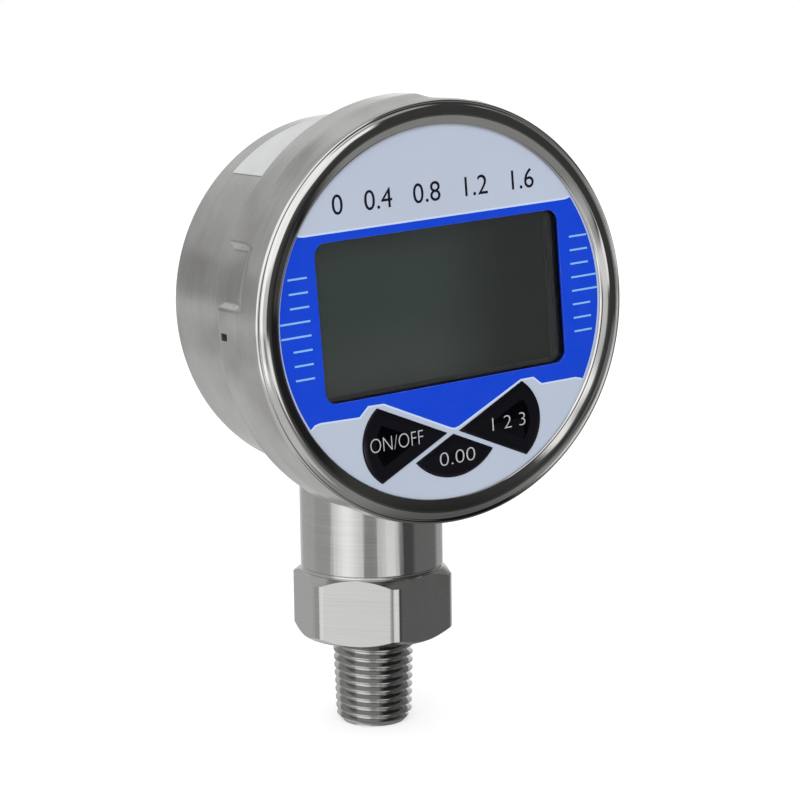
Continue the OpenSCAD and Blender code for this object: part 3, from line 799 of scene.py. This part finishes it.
# %% Blue band with its light edge
film_r, ink_t, ink_gap = 29.25, 0.012, 0.002
arc_steps, corner_steps, weld = 24, 8, 0.0005
window_w, window_h, window_r, window_rise = 44.6, 25.0, 2.0, 1.2
band_top = [(-25.62, 16.0), (-25.3, 15.45), (-24.75, 15.12), (-24.0, 15.0), (0, 15.0), (24.0, 15.0),
            (24.75, 15.12), (25.3, 15.45), (25.62, 16.0)]
band_bottom = [(25.95, -15.45), (25.5, -14.75), (24.9, -14.3), (24.0, -14.15), (17.3, -14.1),
               (15.8, -12.8), (13.3, -12.8), (1.1, -18.45), (0.3, -18.6), (-0.5, -18.35),
               (-12.2, -12.6), (-15.05, -12.5), (-16.7, -14.0), (-23.6, -13.75), (-24.6, -13.95),
               (-25.3, -14.55), (-25.95, -15.45)]


def grown_line(line, reach):
    """Open line moved to its left by reach."""
    moved = []
    for i, here in enumerate(Vector(place) for place in line):
        before, after = Vector(line[max(0, i - 1)]), Vector(line[min(len(line) - 1, i + 1)])
        along_in = (here - before if i else after - here).normalized()
        along_out = (after - here).normalized() if i < len(line) - 1 else along_in
        left = Vector((-along_in.y - along_out.y, along_in.x + along_out.x)).normalized()
        spread = max(0.4, left.dot(Vector((-along_in.y, along_in.x))))
        moved.append(tuple(here + left * reach / spread))
    return moved


def film_arc(start, end):
    """Points round the film's edge from one place on it to another, the short way clockwise."""
    a, b = math.atan2(start[1], start[0]), math.atan2(end[1], end[0])
    if b > a:
        a += 2 * math.pi
    angles = [a + (b - a) * i / arc_steps for i in range(arc_steps + 1)]
    return [(film_r * math.cos(angle), film_r * math.sin(angle)) for angle in angles]


def band_outline(reach):
    """Outline of the blue band, grown by reach, without the points past the film's edge."""
    top, bottom = ([place for place in grown_line(line, reach) if math.hypot(*place) < film_r]
                   for line in (band_top, band_bottom))
    return top[:-1] + film_arc(top[-1], bottom[0]) + bottom[1:-1] + film_arc(bottom[-1], top[0])


def window_outline(reach):
    """Outline of the window with its round corners, grown by reach."""
    corner_r, points = window_r + reach, []
    for quarter, (x, y) in enumerate(((1, 1), (-1, 1), (-1, -1), (1, -1))):
        for i in range(corner_steps + 1):
            turn = math.radians(90 * quarter + 90 * i / corner_steps)
            points.append((x * (window_w / 2 - window_r) + corner_r * math.cos(turn),
                           window_rise + y * (window_h / 2 - window_r) + corner_r * math.sin(turn)))
    return points


def plate(name, outlines, low_f, high_f):
    """Flat plate with holes, from closed outlines of (u, v), between two places along f."""
    curve = bpy.data.curves.new(name, "CURVE")
    curve.dimensions, curve.fill_mode, curve.extrude = "2D", "BOTH", (high_f - low_f) / 2
    for outline in outlines:
        spline = curve.splines.new("POLY")
        spline.points.add(len(outline) - 1)
        for point, (u, v) in zip(spline.points, outline):
            point.co = (u, v, 0, 1)
        spline.use_cyclic_u = True
    piece = flatten(new_piece(name, curve))
    shape = bmesh.new()
    shape.from_mesh(piece.data)
    bmesh.ops.remove_doubles(shape, verts=shape.verts, dist=weld)
    bmesh.ops.recalc_face_normals(shape, faces=shape.faces)
    shape.to_mesh(piece.data)
    shape.free()
    piece.data.transform(on_face @ Matrix.Translation((0, 0, (low_f + high_f) / 2)))
    return piece


line_w = 0.3
hand_over(plate("band_edge", [band_outline(line_w), window_outline(0.02)],
                dial_front + ink_gap, dial_front + ink_t), "gauge", edge_ink)
hand_over(plate("blue_band", [band_outline(0), window_outline(0.01)],
                dial_front + ink_t + ink_gap, dial_front + 2 * ink_t),
          "gauge", blue_ink)

# %% Ticks with Geometry Nodes
tick_count, tick_pitch, tick_middle, tick_w = 8, 2.218, 1.12, 0.3
tick_top = tick_middle + tick_pitch * (tick_count - 1) / 2
long_from, long_to = 3, 4


def ticks(net, given):
    """A column of ticks. Those from long_from to long_to reach further from the window."""
    column = net.add("GeometryNodeMeshLine", {
        "Count": given["count"],
        "Offset": net.add("ShaderNodeCombineXYZ", {
            "Y": net.math("MULTIPLY", given["pitch"], -1.0)})})
    index = net.add("GeometryNodeInputIndex")
    after_start = net.math("GREATER_THAN", index, net.math("SUBTRACT", given["long_from"], 0.5))
    before_end = net.math("LESS_THAN", index, net.math("ADD", given["long_to"], 0.5))
    is_long = net.math("MULTIPLY", after_start, before_end)
    extra = net.math("SUBTRACT", given["long"], given["short"])
    length = net.math("MULTIPLY_ADD", extra, is_long, given["short"])
    bar = net.add("GeometryNodeMeshCube", {"Size": net.add("ShaderNodeCombineXYZ", {
        "X": 1.0, "Y": given["width"], "Z": given["height"]})})
    bar = net.add("GeometryNodeTransform", {"Geometry": bar, "Translation": (0.5, 0, 0)})
    size = net.add("ShaderNodeCombineXYZ", {
        "X": net.math("MULTIPLY", length, given["side"]), "Y": 1.0, "Z": 1.0})
    return net.add("GeometryNodeInstanceOnPoints", {
        "Points": column, "Instance": bar, "Scale": size})


tick_sides = {"left": (-1.0, -23.9, 3.3, 5.2), "right": (1.0, 24.3, 3.4, 5.0)}
for name, (side, inner, short, long) in tick_sides.items():
    column = grown("ticks_" + name, ticks, count=tick_count, pitch=tick_pitch, width=tick_w,
                   height=ink_t, short=short, long=long, side=side, long_from=long_from,
                   long_to=long_to, material=tick_ink)
    column.data.transform(on_face @ Matrix.Translation((inner, tick_top, dial_front + 2.6 * ink_t)))
    hand_over(outward(column), "gauge")

# %% Figures
def lettering(name, words, u, v, width, height, f, thin=0.0):
    """Words as a thin plate, sized and centred on the face, in millimetres."""
    curve = bpy.data.curves.new(name, "FONT")
    curve.body, curve.extrude, curve.offset = words, 0.01, thin
    piece = flatten(new_piece(name, curve))
    xs, ys = ([v.co[k] for v in piece.data.vertices] for k in (0, 1))
    size = width / (max(xs) - min(xs)), height / (max(ys) - min(ys)), 0.6, 1
    centre = Matrix.Translation((-(max(xs) + min(xs)) / 2, -(max(ys) + min(ys)) / 2, 0))
    piece.data.transform(on_face @ Matrix.Translation((u, v, f)) @ Matrix.Diagonal(size) @ centre)
    return piece


hand_over(lettering("figures", "0   0.4   0.8   1.2   1.6", -0.2, 19.25, 36.8, 3.1,
                    dial_front + ink_t), "gauge", dark_ink)

# %% [markdown]
# ## The keys
# Each key is a glossy cap in a sector shape, with a wide bevel that rises to a flat middle, where
# its legend is printed: ON/OFF on one, and plain numbers on the other two. The outline is drawn
# again for every step of the bevel, drawn in by that step, and the loops are joined from one to
# the next.

# %% Keys' outlines
key_tip, key_half_angle, key_arc_r, key_arc_u = 1.3, 26, 7.4, 9.1
key_reach = key_arc_u - key_tip
key_side = (key_reach * math.cos(math.radians(key_half_angle))
            + math.sqrt(key_arc_r ** 2 - (key_reach * math.sin(math.radians(key_half_angle))) ** 2))
key_below, zero_arc_r, zero_tip_step, zero_arc_share = 1.95, 9.2, 0.43, 0.265
key_drop = (window_h / 2 - window_rise + key_below
            + key_side * math.sin(math.radians(key_half_angle)))
zero_tip_drop = key_drop + zero_tip_step
zero_arc_drop = zero_tip_drop - zero_arc_share * zero_arc_r
print(f"the side keys' tips are {key_drop:.2f} mm below the dial's centre")


def sector(half_angle, centre_x, arc_r, drawn_in, steps=28):
    """Sector that opens along x from a tip at 0 to an arc about centre_x, drawn in all round."""
    slope = math.radians(half_angle)
    tip = drawn_in / math.sin(slope)
    radius = arc_r - drawn_in
    off = (centre_x - tip) * math.sin(slope)
    reach = (centre_x - tip) * math.cos(slope) + math.sqrt(radius ** 2 - off ** 2)
    corner = Vector((tip + reach * math.cos(slope), reach * math.sin(slope)))
    spread = math.atan2(corner.y, corner.x - centre_x)
    arc = [(centre_x + radius * math.cos(-spread + 2 * spread * i / steps),
            radius * math.sin(-spread + 2 * spread * i / steps)) for i in range(steps + 1)]
    return [(tip, 0.0)] + arc


def key_outline(which, drawn_in):
    """Outline of a key as (u, v), drawn in all round."""
    if which == "zero":
        outline = sector(90 - key_half_angle, zero_arc_drop - zero_tip_drop, zero_arc_r, drawn_in)
        return [(y, -zero_tip_drop - x) for x, y in outline]
    side = 1 if which == "unit" else -1
    outline = sector(key_half_angle, key_reach, key_arc_r, drawn_in)
    return [(side * (key_tip + x), y - key_drop) for x, y in outline]


# %% Keys and their legends
key_foot, key_proud, key_raise = dial_front - 1.1, 0.15, 0.25
key_top = dial_front + key_proud + key_raise
legend_lift, legend_thinning = 0.012, -0.018
key_steps = [(0, key_foot), (0, dial_front + 0.1), (0.03, dial_front + 0.15),
             (0.1, dial_front + 0.175), (0.3, dial_front + 0.2), (2.2, key_top)]
legends = {"on_off": ("ON/OFF", -10.6, -18.9, 9.6, 2.25), "zero": ("0.00", 0.25, -23.2, 6.6, 2.15),
           "unit": ("1 2 3", 10.3, -19.2, 6.3, 2.15)}
for which, (words, u, v, width, height) in legends.items():
    points, faces = [], []
    for drawn_in, f in key_steps:
        points += [on_face @ Vector((*place, f)) for place in key_outline(which, drawn_in)]
    count = len(points) // len(key_steps)
    for step in range(len(key_steps) - 1):
        low, high = step * count, (step + 1) * count
        faces += [(low + i, low + (i + 1) % count, high + (i + 1) % count, high + i)
                  for i in range(count)]
    faces += [tuple(range(count)), tuple(range(len(points) - count, len(points)))]
    mesh = bpy.data.meshes.new("cap_" + which)
    mesh.from_pydata(points, [], faces)
    cap = outward(new_piece("cap_" + which, mesh))
    hand_over(cap, "key_" + which, finishes["key_plastic"], sharp=50)
    legend = lettering("legend_" + which, words, u, v, width, height, key_top + legend_lift,
                       legend_thinning)
    hand_over(legend, "key_" + which, grey_ink)

# %% [markdown]
# ## The display
# Behind the window lies the glass of the display, switched off. A black mask borders it, and a
# thin strip of painted highlight lies on the glass at the foot of the opening's right wall.

# %% Display's mask
display_f = -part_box("lcd_glass")[0].y / MM
mask_w, mask_foot_w = 0.95, 0.5
mask_u, mask_low, mask_high, shown_high = 22.9, -11.9, 14.2, 14.1
shine_low, shine_high, shine_u, shine_w = -10.6, 13.0, 22.02, 0.14


def rectangle(left, low, right, high):
    """Outline of a rectangle between two places across and two places up."""
    return [(left, low), (right, low), (right, high), (left, high)]


shown_u, shown_low = window_w / 2 - mask_w, window_rise - window_h / 2 + mask_foot_w
mask = [rectangle(-mask_u, mask_low, mask_u, mask_high),
        rectangle(-shown_u, shown_low, shown_u, shown_high)]
hand_over(plate("display_mask", mask, display_f + 0.01, display_f + 0.04), "gauge",
          finishes["black_plastic"])
# painted highlight: a thin pale strip where the glass's edge catches light at the foot of the right
# wall
shine = [rectangle(shine_u, shine_low, shine_u + shine_w, shine_high)]
hand_over(plate("display_edge", shine, display_f + 0.045, display_f + 0.075), "gauge",
          edge_shine)
